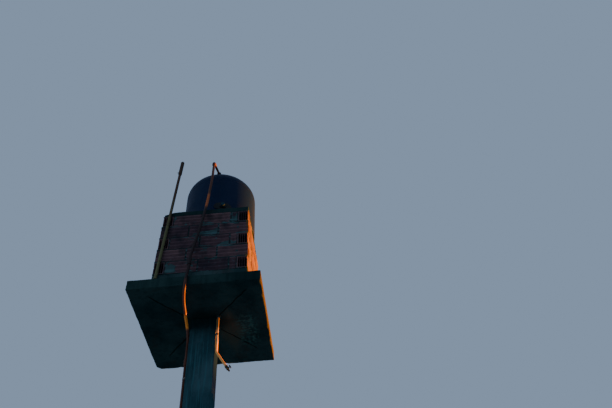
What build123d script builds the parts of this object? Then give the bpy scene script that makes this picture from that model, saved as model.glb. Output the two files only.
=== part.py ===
from build123d import *
from math import cos, radians, sin, sqrt, tan
import os

os.makedirs("parts", exist_ok=True)

# Water tower: a concrete column carries a square slab, a hollow brick pedestal stands on the
# slab, and a domed plastic tank stands on the pedestal. Millimetres, +Z up. The origin is the
# middle of the column's foot at ground level. The front, with the riser pipe, faces -Y.

# Column and platform
column_width = 295.0
column_depth = 205.0
column_height = 5850.0
column_arris = 8.0
slab_width = 1462.0
slab_depth = 1550.0
slab_thickness = 130.0
slab_shift_x = -18.0
slab_shift_y = 85.0
broken_corner = 55.0

# Brick pedestal: courses of hollow clay bricks laid on edge between a bed and a cap. Its left
# side leans out towards its foot.
brick_length = 330.0
brick_height = 175.0
brick_thickness = 120.0
bed_joint = 12.0
head_joint = 15.0
bricks_per_side = 3
courses = 5
bed_thickness = 80.0
cap_thickness = 70.0
cap_worn_drop = 40.0
cap_worn_width = 125.0
front_ledge = 31.0
pedestal_shift_x = 64.0
left_lean = 27.0

# Tank: straight shell, half-elliptical dome with a neck, and a lid
tank_radius = 460.0
tank_overhang = 10.0
tank_skin = 6.0
tank_floor = 8.0
tank_floor_round = 5.0
tank_straight = 658.0
dome_height = 321.0
neck_radius = 200.0
neck_rise = 30.0
lid_gap = 0.4
lid_skin = 5.0
lid_skirt = 24.0
lid_crown = 14.0
lid_lugs = 12
lid_lug_radius = 9.0

# Plugged outlet low on the front of the tank, on an oval pad
outlet_turn = 14.0
outlet_height = 118.0
pad_half_width = 112.0
pad_half_height = 66.0
pad_thickness = 7.0
flange_radius = 40.0
flange_thickness = 12.0
nipple_radius = 19.0
nipple_bore = 14.0
nipple_inside = 30.0
nipple_length = 22.0
plug_radius = 25.0
plug_sides = 8
plug_skirt = 16.0
plug_end = 6.0

# Riser: plastic pipe from the ground, up the column and round the slab, to the dome
riser_radius = 16.0
riser_bore = 13.0
riser_standoff = 23.0
riser_setback = 60.0
socket_radius = 21.5
socket_length = 80.0
socket_stop = 4.0
slip = 0.3
column_joint_drop = 540.0
front_joint_rise = 318.0
front_joint_shift = 91.5
fascia_gap = 2.0
inlet_shift = -19.5
inlet_stand_off = 41.0
inlet_drop = 117.0
inlet_turn = 11.0
inlet_radius = 15.0
inlet_bore = 12.0
inlet_reach = 60.0
elbow_leg = 46.0
elbow_bend = 24.0
elbow_socket = 20.0
elbow_run = 60.0
boss_radius = 26.0
boss_length = 20.0
boss_lip = 2.0

# Hand bends of the riser. Under the slab each is a share of the way out to the slab's front, a
# shift sideways and a drop below the slab. In front of the pedestal the pipe leans over, less
# and less towards its top, and each bend is a share of the way up.
bow_start_drop = 240.0
bow_bends = ((0.128, -4.0, 130.0), (0.436, 6.0, 86.0), (0.721, 25.0, 64.0))
bow_toe = 5.0
bow_toe_drop = 52.0
bow_rise = 110.0
bow_lean = 18.0
lean_bends = (0.17, 0.40, 0.60, 0.85)
lean_power = 1.75

# Straps that hold the pipes to the column
strap_thickness = 2.0
strap_width = 22.0
strap_ear = 18.0
strap_count = 5
strap_first = 500.0
strap_pitch = 1150.0

# Drain: pipe on the other side of the column, with an arm that ends in a tap
drain_radius = 12.5
drain_bore = 10.0
drain_standoff = 15.0
drain_setback = 10.5
drain_drop = 465.0
arm_reach = 115.0
arm_drop = 190.0
arm_bend = 70.0
collar_radius = 32.0
collar_thickness = 8.0
drain_strap_drop = 250.0

# Tap at the end of the arm
grip_radius = 19.0
grip_sides = 6
grip_length = 14.0
barrel_radius = 16.0
barrel_length = 34.0
nozzle_radius = 9.0
nozzle_bore = 6.5
nozzle_length = 26.0
stem_radius = 6.0
stem_rise = 30.0
handle_radius = 20.0
handle_thickness = 8.0

# Post tied to the front of the pedestal, with a sleeve at its top
post_radius = 17.0
post_bore = 14.0
post_gap = 1.0
post_foot_inset = 25.5
post_lean = 108.0
post_rise = 2038.0
sleeve_radius = 23.0
sleeve_length = 240.0
sleeve_cap = 5.0
sleeve_round = 4.0
bolt_radius = 6.0
bolt_sides = 6
bolt_length = 14.0
bolt_below_top = 205.0
tie_wire_radius = 2.0
tie_heights = (254.0, 830.0, 865.0)

# Heights and places that follow from the sizes above
slab_top = column_height + slab_thickness
slab_front = slab_shift_y - slab_depth / 2
bed_top = slab_top + bed_thickness
wall_height = courses * (brick_height + bed_joint)
wall_top = bed_top + wall_height
cap_top = wall_top + cap_thickness
pedestal_side = bricks_per_side * (brick_length + head_joint)
pedestal_x = slab_shift_x + pedestal_shift_x
pedestal_front = slab_front + front_ledge
pedestal_y = pedestal_front + pedestal_side / 2
cap_left = pedestal_x - pedestal_side / 2
cap_right = pedestal_x + pedestal_side / 2
tank_x = cap_right + tank_overhang - tank_radius
tank_y = pedestal_y
shell_foot = cap_top + tank_floor
dome_base = shell_foot + tank_straight
tank_axis = Axis((tank_x, tank_y, 0), (0, 0, 1))
neck_seat = dome_height * sqrt(1 - (neck_radius / tank_radius) ** 2)
neck_top = dome_base + neck_seat + neck_rise
riser_x = -column_width / 2 - riser_standoff
riser_y = -column_depth / 2 + riser_setback
fascia_pipe_y = slab_front - fascia_gap - riser_radius
column_joint = column_height - column_joint_drop
front_joint = column_height + front_joint_rise
front_joint_x = riser_x + front_joint_shift
inlet_x = tank_x + inlet_shift
inlet_y = pedestal_front - inlet_stand_off
inlet_z = dome_base + dome_height - inlet_drop
inlet_way = Vector(sin(radians(inlet_turn)), cos(radians(inlet_turn)), 0)
drain_x = column_width / 2 + drain_standoff
drain_y = -column_depth / 2 + drain_setback


def bend_radii(points, share=0.45):
    """Radius at each inner point: a share of the shorter run over the tangent of half the turn."""
    vectors = [Vector(*point) for point in points]
    radii = []
    for before, here, after in zip(vectors, vectors[1:], vectors[2:]):
        turn = (here - before).get_angle(after - here)
        shorter = min((here - before).length, (after - here).length)
        radii.append(share * shorter / tan(radians(turn / 2)))
    return radii


def write(piece, name):
    """Label a finished piece and write it under its own name."""
    piece.part.label = name
    export_step(piece.part, f"parts/{name}.step")


def masonry(low, high, left, right, front, deep):
    """A mass of masonry between two heights. Left and right are each the x at both heights."""
    with BuildPart() as mass:
        with BuildSketch(Plane.XZ.offset(-front)):
            with BuildLine():
                Polyline((left[0], low), (right[0], low), (right[1], high), (left[1], high), close=True)
            make_face()
        extrude(amount=-deep)
    return mass


# Column, with chamfered arrises
with BuildPart() as column:
    with BuildSketch(Plane.XY):
        Rectangle(column_width, column_depth)
    extrude(amount=column_height)
    chamfer(column.edges().filter_by(Axis.Z), column_arris)
write(column, "column")

# Platform slab, its back left corner broken away
with BuildPart() as platform_slab:
    with BuildSketch(Plane((slab_shift_x, slab_shift_y, column_height))):
        Rectangle(slab_width, slab_depth)
    extrude(amount=slab_thickness)
    back_left = platform_slab.edges().filter_by(Axis.Z).sort_by(Axis.Y)[-2:].sort_by(Axis.X)[0]
    chamfer(back_left, broken_corner)
write(platform_slab, "platform_slab")

# Concrete bed under the brickwork. The left side leans out evenly from the cap to the bed's foot.
left_foot = cap_left - left_lean
left_bed = cap_left - left_lean * wall_height / (wall_height + bed_thickness)
upright_right = (cap_right, cap_right)
pedestal_bed = masonry(
    slab_top, bed_top, (left_foot, left_bed), upright_right, pedestal_front, pedestal_side
)
write(pedestal_bed, "pedestal_bed")

# Four walls one brick thick: front and back run the full width, the sides fit between them
leaning_left = (left_bed, cap_left)
left_wall_inner = (left_bed + brick_thickness, cap_left + brick_thickness)
right_wall_inner = (cap_right - brick_thickness, cap_right - brick_thickness)
side_front = pedestal_front + brick_thickness
side_run = pedestal_side - 2 * brick_thickness
back_front = side_front + side_run
wall_plans = {
    "front_wall": (leaning_left, upright_right, pedestal_front, brick_thickness),
    "back_wall": (leaning_left, upright_right, back_front, brick_thickness),
    "left_wall": (leaning_left, left_wall_inner, side_front, side_run),
    "right_wall": (right_wall_inner, upright_right, side_front, side_run),
}
for wall_name, (wall_left, wall_right, wall_front, wall_deep) in wall_plans.items():
    wall = masonry(bed_top, wall_top, wall_left, wall_right, wall_front, wall_deep)
    write(wall, wall_name)

# Cap slab over the brickwork, worn down along its left end
with BuildPart() as pedestal_cap:
    with BuildSketch(Plane.XZ.offset(-pedestal_front)):
        with BuildLine():
            Polyline(
                (cap_left, wall_top),
                (cap_right, wall_top),
                (cap_right, cap_top),
                (cap_left + cap_worn_width, cap_top),
                (cap_left, cap_top - cap_worn_drop),
                close=True,
            )
        make_face()
    extrude(amount=-pedestal_side)
write(pedestal_cap, "pedestal_cap")

# Tank floor, rounded where it turns up to the shell
with BuildPart() as tank_bottom:
    with BuildSketch(Plane((tank_x, tank_y, cap_top))):
        Circle(tank_radius)
    extrude(amount=tank_floor)
    fillet(tank_bottom.edges().sort_by(Axis.Z)[0], tank_floor_round)
write(tank_bottom, "tank_bottom")

# Straight shell, drilled for the outlet. The outlet's plane starts at the tank's axis.
outlet_out = Vector(sin(radians(outlet_turn)), -cos(radians(outlet_turn)), 0)
outlet_across = Vector(cos(radians(outlet_turn)), sin(radians(outlet_turn)), 0)
outlet_plane = Plane(
    origin=(tank_x, tank_y, cap_top + outlet_height), x_dir=outlet_across, z_dir=outlet_out
)
with BuildPart() as tank_wall:
    with BuildSketch(Plane((tank_x, tank_y, shell_foot))):
        Circle(tank_radius)
        Circle(tank_radius - tank_skin, mode=Mode.SUBTRACT)
    extrude(amount=tank_straight)
    with BuildSketch(outlet_plane):
        Circle(nipple_radius + slip)
    extrude(amount=tank_radius + tank_skin, mode=Mode.SUBTRACT)
write(tank_wall, "tank_wall")

# Dome: a half ellipse revolved, open at the top where the neck stands up for the lid
dome_plane = Plane(origin=(tank_x, tank_y, dome_base), x_dir=(1, 0, 0), z_dir=(0, -1, 0))
with BuildPart() as tank_dome:
    with BuildSketch(dome_plane):
        Ellipse(tank_radius, dome_height)
        Ellipse(tank_radius - tank_skin, dome_height - tank_skin, mode=Mode.SUBTRACT)
        with Locations((neck_radius - tank_skin, 0)):
            Rectangle(tank_radius, dome_height, align=(Align.MIN, Align.MIN), mode=Mode.INTERSECT)
        with Locations((neck_radius - tank_skin, neck_seat - tank_skin / 2)):
            Rectangle(tank_skin, neck_rise + tank_skin / 2, align=(Align.MIN, Align.MIN))
    revolve(axis=tank_axis)
    with BuildSketch(Plane(origin=(inlet_x, inlet_y, inlet_z), z_dir=inlet_way)):
        Circle(inlet_radius + slip)
    extrude(amount=tank_y - inlet_y, mode=Mode.SUBTRACT)
write(tank_dome, "tank_dome")

# Lid: crowned disc with a skirt round the neck and lugs to turn it by
lid_inner = neck_radius + lid_gap
lid_outer = lid_inner + lid_skin
with BuildPart() as tank_lid:
    with BuildSketch(Plane(origin=(tank_x, tank_y, neck_top), x_dir=(1, 0, 0), z_dir=(0, -1, 0))):
        with BuildLine():
            Polyline(
                (0, lid_skin + lid_crown),
                (0, 0),
                (lid_inner, 0),
                (lid_inner, -lid_skirt),
                (lid_outer, -lid_skirt),
                (lid_outer, lid_skin),
            )
            ThreePointArc(
                (lid_outer, lid_skin),
                (lid_outer / 2, lid_skin + 0.75 * lid_crown),
                (0, lid_skin + lid_crown),
            )
        make_face()
    revolve(axis=tank_axis)
    with BuildSketch(Plane((tank_x, tank_y, neck_top - lid_skirt))):
        with PolarLocations(lid_outer, lid_lugs):
            Circle(lid_lug_radius)
        Circle(lid_outer - lid_skin / 2, mode=Mode.SUBTRACT)
    extrude(amount=lid_skirt + lid_skin)
write(tank_lid, "tank_lid")

# Oval pad that follows the shell round the outlet
with BuildPart() as outlet_pad:
    with BuildSketch(Plane((tank_x, tank_y, shell_foot))):
        Circle(tank_radius + pad_thickness)
        Circle(tank_radius + slip, mode=Mode.SUBTRACT)
    extrude(amount=tank_straight)
    with BuildSketch(outlet_plane):
        Ellipse(pad_half_width, pad_half_height)
        Circle(nipple_radius + slip, mode=Mode.SUBTRACT)
    extrude(amount=tank_radius + 2 * pad_thickness, mode=Mode.INTERSECT)
write(outlet_pad, "outlet_pad")

# Flange nut, seated on the pad
flange_seat = tank_radius + pad_thickness
with BuildPart() as outlet_flange:
    with BuildSketch(outlet_plane):
        Circle(flange_radius)
        Circle(nipple_radius + slip, mode=Mode.SUBTRACT)
    extrude(amount=flange_seat + flange_thickness)
    with BuildSketch(Plane((tank_x, tank_y, shell_foot))):
        Circle(flange_seat + slip)
    extrude(amount=tank_straight, mode=Mode.SUBTRACT)
write(outlet_flange, "outlet_flange")

# Threaded nipple through the shell, and the plug that closes it
nipple_end = flange_seat + flange_thickness + nipple_length
with BuildPart() as outlet_nipple:
    with BuildSketch(outlet_plane.offset(tank_radius - nipple_inside)):
        Circle(nipple_radius)
        Circle(nipple_bore, mode=Mode.SUBTRACT)
    extrude(amount=nipple_end - tank_radius + nipple_inside)
write(outlet_nipple, "outlet_nipple")

with BuildPart() as outlet_plug:
    with BuildSketch(outlet_plane.offset(nipple_end - plug_skirt)):
        RegularPolygon(plug_radius, plug_sides)
    extrude(amount=plug_skirt + plug_end)
    with BuildSketch(outlet_plane.offset(nipple_end - plug_skirt)):
        Circle(nipple_radius + slip)
    extrude(amount=plug_skirt, mode=Mode.SUBTRACT)
write(outlet_plug, "outlet_plug")


def socket(centre):
    """Straight coupling: a sleeve bored from both ends down to a stop, centred on a plane."""
    with BuildPart() as coupling:
        with BuildSketch(centre.offset(-socket_length / 2)):
            Circle(socket_radius)
            Circle(riser_bore, mode=Mode.SUBTRACT)
        extrude(amount=socket_length)
        with BuildSketch(centre.offset(-socket_length / 2), centre.offset(socket_stop / 2)):
            Circle(riser_radius + slip)
        extrude(amount=(socket_length - socket_stop) / 2, mode=Mode.SUBTRACT)
    return coupling


def pipe(points, outer, bore):
    """Bent pipe: straight runs joined by tangent arcs, as large as the runs allow."""
    with BuildPart() as tube:
        with BuildLine() as route:
            FilletPolyline(*points, radius=bend_radii(points))
        with BuildSketch(Plane(origin=route.line @ 0, z_dir=route.line % 0)):
            Circle(outer)
            Circle(bore, mode=Mode.SUBTRACT)
        sweep(transition=Transition.RIGHT)
    return tube


# Riser: foot coupling at the ground, then the straight length on the column's left face
foot_coupling = socket(Plane((riser_x, riser_y, socket_length / 2)))
write(foot_coupling, "foot_coupling")

riser_foot = socket_length / 2 + socket_stop / 2
with BuildPart() as riser_column:
    with BuildSketch(Plane((riser_x, riser_y, riser_foot))):
        Circle(riser_radius)
        Circle(riser_bore, mode=Mode.SUBTRACT)
    extrude(amount=column_joint - socket_stop / 2 - riser_foot)
write(riser_column, "riser_column")

column_coupling = socket(Plane((riser_x, riser_y, column_joint)))
write(column_coupling, "column_coupling")

# Bowed length under the slab, out past its front edge and up to the coupling on the front
bow_way = fascia_pipe_y - riser_y
bow_under = [
    (riser_x + shift, riser_y + share * bow_way, column_height - drop)
    for share, shift, drop in bow_bends
]
bow_points = [
    (riser_x, riser_y, column_joint + socket_stop / 2),
    (riser_x, riser_y, column_height - bow_start_drop),
    *bow_under,
    (front_joint_x - bow_lean - bow_toe, fascia_pipe_y - bow_toe, column_height - bow_toe_drop),
    (front_joint_x - bow_lean, fascia_pipe_y, column_height + bow_rise),
    (front_joint_x, fascia_pipe_y, front_joint - socket_length),
    (front_joint_x, fascia_pipe_y, front_joint - socket_stop / 2),
]
riser_bow = pipe(bow_points, riser_radius, riser_bore)
write(riser_bow, "riser_bow")

# Leaning length in front of the pedestal and the tank
lean_foot = Vector(front_joint_x, fascia_pipe_y, front_joint + socket_length)
lean_way = Vector(inlet_x, inlet_y, inlet_z - elbow_leg - elbow_run) - lean_foot
front_points = [(front_joint_x, fascia_pipe_y, front_joint + socket_stop / 2)]
for share in (0, *lean_bends, 1):
    across = 1 - (1 - share) ** lean_power
    lean_step = Vector(lean_way.X * across, lean_way.Y * across, lean_way.Z * share)
    front_points.append(tuple(lean_foot + lean_step))
front_points.append((inlet_x, inlet_y, inlet_z - elbow_leg + elbow_socket))
front_coupling = socket(Plane((front_joint_x, fascia_pipe_y, front_joint)))
write(front_coupling, "front_coupling")
riser_front = pipe(front_points, riser_radius, riser_bore)
write(riser_front, "riser_front")

# Elbow at the top, bored for the riser below and the smaller inlet pipe behind
elbow_corner = Vector(inlet_x, inlet_y, inlet_z)
elbow_points = [
    (inlet_x, inlet_y, inlet_z - elbow_leg),
    tuple(elbow_corner),
    tuple(elbow_corner + inlet_way * elbow_leg),
]
with BuildPart() as top_elbow:
    with BuildLine() as elbow_route:
        FilletPolyline(*elbow_points, radius=elbow_bend)
    with BuildSketch(Plane(origin=elbow_points[0])):
        Circle(socket_radius)
        Circle(inlet_bore, mode=Mode.SUBTRACT)
    sweep()
    with BuildSketch(Plane(origin=elbow_points[0])):
        Circle(riser_radius + slip)
    extrude(amount=elbow_socket, mode=Mode.SUBTRACT)
    with BuildSketch(Plane(origin=elbow_points[2], z_dir=-inlet_way)):
        Circle(inlet_radius + slip)
    extrude(amount=elbow_socket, mode=Mode.SUBTRACT)
write(top_elbow, "top_elbow")

# Inlet pipe into the dome. Its length follows the dome's surface at that height and bearing.
tank_from_corner = Vector(tank_x - inlet_x, tank_y - inlet_y, 0)
tank_ahead = tank_from_corner.dot(inlet_way)
tank_aside = tank_from_corner.cross(inlet_way).length


def dome_front(height):
    """Distance along the inlet from the elbow's corner to the dome's surface at a height."""
    dome_share = sqrt(1 - (height / dome_height) ** 2)
    return tank_ahead - sqrt((tank_radius * dome_share) ** 2 - tank_aside**2)


inlet_height = dome_height - inlet_drop
dome_ahead = dome_front(inlet_height)
inlet_start = elbow_corner + inlet_way * (elbow_leg - elbow_socket)
with BuildPart() as inlet_pipe:
    with BuildSketch(Plane(origin=inlet_start, z_dir=inlet_way)):
        Circle(inlet_radius)
        Circle(inlet_bore, mode=Mode.SUBTRACT)
    extrude(amount=dome_ahead + inlet_reach - elbow_leg + elbow_socket)
write(inlet_pipe, "inlet_pipe")

# Boss round the inlet, cut to the dome it is bonded to, with a lip left under the pipe
under_pipe = dome_ahead - dome_front(inlet_height - inlet_radius)
boss_stand = max(boss_length, under_pipe + boss_lip)
boss_front = elbow_corner + inlet_way * (dome_ahead - boss_stand)
with BuildPart() as inlet_boss:
    with BuildSketch(Plane(origin=boss_front, z_dir=inlet_way)):
        Circle(boss_radius)
        Circle(inlet_radius + slip, mode=Mode.SUBTRACT)
    extrude(amount=boss_stand + boss_length + boss_radius)
    with BuildSketch(dome_plane):
        Ellipse(tank_radius + slip, dome_height + slip)
        Rectangle(2 * tank_radius, 2 * dome_height, align=(Align.MIN, Align.CENTER), mode=Mode.INTERSECT)
    revolve(axis=tank_axis, mode=Mode.SUBTRACT)
write(inlet_boss, "inlet_boss")


def straps(pipe_x, pipe_y, pipe_radius, face_x, heights):
    """Straps round one pipe: each a band open towards the column's face, an ear each side."""
    band_inner = pipe_radius + slip
    band_outer = band_inner + strap_thickness
    middle_x = (pipe_x + face_x) / 2
    reach = abs(face_x - pipe_x)
    ear_x = face_x + (strap_thickness / 2 if pipe_x > face_x else -strap_thickness / 2)
    with BuildPart() as bands:
        for height in heights:
            with BuildSketch(Plane.XY.offset(height)):
                with Locations((pipe_x, pipe_y)):
                    Circle(band_outer)
                with Locations((middle_x, pipe_y)):
                    Rectangle(reach, 2 * band_outer)
                with Locations((ear_x, pipe_y)):
                    Rectangle(strap_thickness, 2 * (band_outer + strap_ear))
                with Locations((pipe_x, pipe_y)):
                    Circle(band_inner, mode=Mode.SUBTRACT)
                with Locations((middle_x, pipe_y)):
                    Rectangle(reach, 2 * band_inner, mode=Mode.SUBTRACT)
            extrude(amount=strap_width)
    return bands


strap_heights = [strap_first + index * strap_pitch for index in range(strap_count)]
riser_straps = straps(riser_x, riser_y, riser_radius, -column_width / 2, strap_heights)
write(riser_straps, "riser_straps")

# Drain pipe down from the slab, with its arm, held by a collar and a strap
drain_bend = column_height - drain_drop
arm_end = (drain_x + arm_reach, drain_y, drain_bend - arm_drop)
drain_points = [(drain_x, drain_y, column_height), (drain_x, drain_y, drain_bend), arm_end]
with BuildPart() as drain_pipe:
    with BuildLine() as drain_route:
        FilletPolyline(*drain_points, radius=arm_bend)
    with BuildSketch(Plane(origin=drain_points[0], z_dir=(0, 0, -1))):
        Circle(drain_radius)
        Circle(drain_bore, mode=Mode.SUBTRACT)
    sweep()
write(drain_pipe, "drain_pipe")

with BuildPart() as drain_collar:
    with BuildSketch(Plane((drain_x, drain_y, column_height - collar_thickness))):
        Circle(collar_radius)
        Circle(drain_radius + slip, mode=Mode.SUBTRACT)
        with Locations((column_width / 2 - drain_x, 0)):
            Rectangle(collar_radius, 2 * collar_radius, align=(Align.MAX, Align.CENTER), mode=Mode.SUBTRACT)
    extrude(amount=collar_thickness)
write(drain_collar, "drain_collar")

drain_strap_heights = [column_height - drain_strap_drop]
drain_strap = straps(drain_x, drain_y, drain_radius, column_width / 2, drain_strap_heights)
write(drain_strap, "drain_strap")

# Tap: grip, barrel and nozzle in line with the arm, a stem and a round handle across it
arm_direction = (Vector(*arm_end) - Vector(*drain_points[1])).normalized()
handle_direction = Vector(-arm_direction.Z, 0, arm_direction.X)
tap_plane = Plane(origin=arm_end, x_dir=(0, 1, 0), z_dir=arm_direction)
with BuildPart() as tap_body:
    with BuildSketch(tap_plane):
        RegularPolygon(grip_radius, grip_sides)
    extrude(amount=grip_length)
    with BuildSketch(tap_plane.offset(grip_length)):
        Circle(barrel_radius)
    extrude(amount=barrel_length)
    with BuildSketch(tap_plane.offset(grip_length + barrel_length)):
        Circle(nozzle_radius)
    extrude(amount=nozzle_length)
    with BuildSketch(tap_plane.offset(grip_length + barrel_length + nozzle_length)):
        Circle(nozzle_bore)
    extrude(amount=-nozzle_length, mode=Mode.SUBTRACT)
write(tap_body, "tap_body")

stem_origin = Vector(*arm_end) + arm_direction * (grip_length + barrel_length / 2)
stem_plane = Plane(origin=stem_origin, x_dir=(0, 1, 0), z_dir=handle_direction)
with BuildPart() as tap_handle:
    with BuildSketch(stem_plane):
        Circle(stem_radius)
    extrude(amount=stem_rise)
    with BuildSketch(stem_plane.offset(stem_rise)):
        Circle(handle_radius)
    extrude(amount=handle_thickness)
    with BuildSketch(tap_plane):
        Circle(barrel_radius + slip)
    extrude(amount=grip_length + barrel_length, mode=Mode.SUBTRACT)
write(tap_handle, "tap_handle")

# Post: a leaning tube on the slab, cut level at its foot
post_y = pedestal_front - post_gap - post_radius
post_foot = Vector(cap_left + post_foot_inset, post_y, slab_top)
post_up = Vector(post_lean, 0, post_rise).normalized()
post_length = Vector(post_lean, 0, post_rise).length
post_plane = Plane(origin=post_foot, x_dir=(0, 1, 0), z_dir=post_up)
with BuildPart() as post:
    with BuildSketch(post_plane.offset(-post_radius)):
        Circle(post_radius)
        Circle(post_bore, mode=Mode.SUBTRACT)
    extrude(amount=post_radius + post_length)
    split(bisect_by=Plane.XY.offset(slab_top), keep=Keep.TOP)
write(post, "post")

# Sleeve over the post's top, closed by its cap, and the bolt that clamps it
with BuildPart() as post_sleeve:
    with BuildSketch(post_plane.offset(post_length - sleeve_length)):
        Circle(sleeve_radius)
    extrude(amount=sleeve_length + sleeve_cap)
    with BuildSketch(post_plane.offset(post_length - sleeve_length)):
        Circle(post_radius + slip)
    extrude(amount=sleeve_length, mode=Mode.SUBTRACT)
    fillet(post_sleeve.edges().sort_by(Axis.Z)[-1], sleeve_round)
write(post_sleeve, "post_sleeve")

bolt_side = Vector(-post_up.Z, 0, post_up.X)
bolt_origin = post_foot + post_up * (post_length - bolt_below_top)
with BuildPart() as sleeve_bolt:
    with BuildSketch(Plane(origin=bolt_origin, x_dir=(0, 1, 0), z_dir=bolt_side)):
        RegularPolygon(bolt_radius, bolt_sides)
    extrude(amount=sleeve_radius + bolt_length)
    with BuildSketch(post_plane.offset(post_length - sleeve_length)):
        Circle(sleeve_radius + slip)
    extrude(amount=sleeve_length, mode=Mode.SUBTRACT)
write(sleeve_bolt, "sleeve_bolt")

# Wire ties: staples of wire from the front wall round the post
tie_reach = post_radius + slip + tie_wire_radius
with BuildPart() as post_ties:
    for tie_height in tie_heights:
        tie_x = post_foot.X + post_lean * tie_height / post_rise
        tie_z = slab_top + tie_height
        with BuildLine() as tie_route:
            Line((tie_x - tie_reach, pedestal_front, tie_z), (tie_x - tie_reach, post_y, tie_z))
            ThreePointArc(
                (tie_x - tie_reach, post_y, tie_z),
                (tie_x, post_y - tie_reach, tie_z),
                (tie_x + tie_reach, post_y, tie_z),
            )
            Line((tie_x + tie_reach, post_y, tie_z), (tie_x + tie_reach, pedestal_front, tie_z))
        with BuildSketch(Plane(origin=tie_route.line @ 0, z_dir=tie_route.line % 0)):
            Circle(tie_wire_radius)
        sweep()
write(post_ties, "post_ties")
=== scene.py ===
import itertools
import math

import bmesh
import bpy
import numpy as np
from mathutils import Matrix, Vector


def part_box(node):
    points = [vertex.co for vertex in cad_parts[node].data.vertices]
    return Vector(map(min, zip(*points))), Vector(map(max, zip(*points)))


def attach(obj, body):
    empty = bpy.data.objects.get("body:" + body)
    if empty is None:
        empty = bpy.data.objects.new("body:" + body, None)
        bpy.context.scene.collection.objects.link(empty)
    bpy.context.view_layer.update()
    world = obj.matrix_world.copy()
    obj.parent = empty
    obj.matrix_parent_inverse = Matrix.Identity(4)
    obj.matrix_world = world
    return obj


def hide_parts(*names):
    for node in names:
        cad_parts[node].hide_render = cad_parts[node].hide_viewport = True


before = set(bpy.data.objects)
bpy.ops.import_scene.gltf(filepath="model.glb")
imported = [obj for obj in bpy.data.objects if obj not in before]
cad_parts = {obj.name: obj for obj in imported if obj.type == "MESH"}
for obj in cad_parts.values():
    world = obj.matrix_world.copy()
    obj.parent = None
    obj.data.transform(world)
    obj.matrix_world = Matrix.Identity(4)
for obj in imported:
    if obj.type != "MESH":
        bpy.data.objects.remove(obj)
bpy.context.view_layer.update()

# Camera. A standing viewer looks steeply up at the front of the tower from 5.5 m away,
# with the picture turned a little anticlockwise.
eye = Vector((1.2406, -5.5533, 1.5896))
heading = math.radians(0.3)
pitch = math.radians(47.97)
tilt = math.radians(-4.90)
level = math.cos(pitch)
forward = Vector((math.sin(heading) * level, math.cos(heading) * level, math.sin(pitch)))
level_right = forward.cross(Vector((0, 0, 1))).normalized()
level_up = level_right.cross(forward)
right = level_right * math.cos(tilt) + level_up * math.sin(tilt)
up = right.cross(forward)
camera = bpy.data.objects.new("camera", bpy.data.cameras.new("camera"))
camera.data.lens = 35.16
camera.data.sensor_width = 36.0
camera.data.clip_end = 100.0
camera.matrix_world = Matrix.Translation(eye) @ Matrix((right, up, -forward)).transposed().to_4x4()
bpy.context.scene.collection.objects.link(camera)
bpy.context.scene.camera = camera

# Studio light. A soft warm lamp low on the right and a little behind, as an evening sun that
# still reaches the head of the tower, a cool panel on the front left and pale surroundings.
world = bpy.data.worlds.new("studio")
world.use_nodes = True
world.node_tree.nodes["Background"].inputs["Color"].default_value = (0.50, 0.68, 0.96, 1)
world.node_tree.nodes["Background"].inputs["Strength"].default_value = 0.45
bpy.context.scene.world = world


def hang_light(name, kind, place, target, power, tint):
    """A light of one kind at a place, turned to its target."""
    light = bpy.data.objects.new(name, bpy.data.lights.new(name, kind))
    light.data.energy = power
    light.data.color = tint
    turn = (Vector(target) - Vector(place)).to_track_quat("-Z", "Y")
    light.matrix_world = Matrix.Translation(place) @ turn.to_matrix().to_4x4()
    bpy.context.scene.collection.objects.link(light)
    return light.data


lamp_bearing = math.radians(32)
lamp_away = 9.4
evening_lamp = hang_light(
    "evening_lamp", "SPOT", target=(0.0, 0.0, 6.69), power=36000.0, tint=(1.0, 0.27, 0.012),
    place=(lamp_away * math.cos(lamp_bearing), lamp_away * math.sin(lamp_bearing), 6.08),
)
evening_lamp.spot_size = math.radians(19.6)
evening_lamp.spot_blend = 0.05
evening_lamp.shadow_soft_size = 0.25
front_panel = hang_light(
    "front_panel", "AREA", target=(0.0, 0.0, 6.4), power=108.0, tint=(0.70, 0.87, 1.0),
    place=(-6.4, -6.2, 5.0),
)
front_panel.size = 5.0


# Studio floor. A plain pale sheet at ground level, which is no part of the tower. Its material
# is made with the two classes that make every finish below.
class Wire:
    """A node's output in shader maths. An operator on it adds a Math node."""

    def __init__(self, finish, socket):
        self.finish = finish
        self.socket = socket

    def math(self, operation, *values):
        return self.finish.node("ShaderNodeMath", {"operation": operation}, dict(enumerate(values)))

    def __add__(self, other):
        return self.math("ADD", self, other)

    def __sub__(self, other):
        return self.math("SUBTRACT", self, other)

    def __rsub__(self, other):
        return self.math("SUBTRACT", other, self)

    def __mul__(self, other):
        return self.math("MULTIPLY", self, other)

    def __abs__(self):
        return self.math("ABSOLUTE", self)

    __radd__ = __add__
    __rmul__ = __mul__


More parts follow.
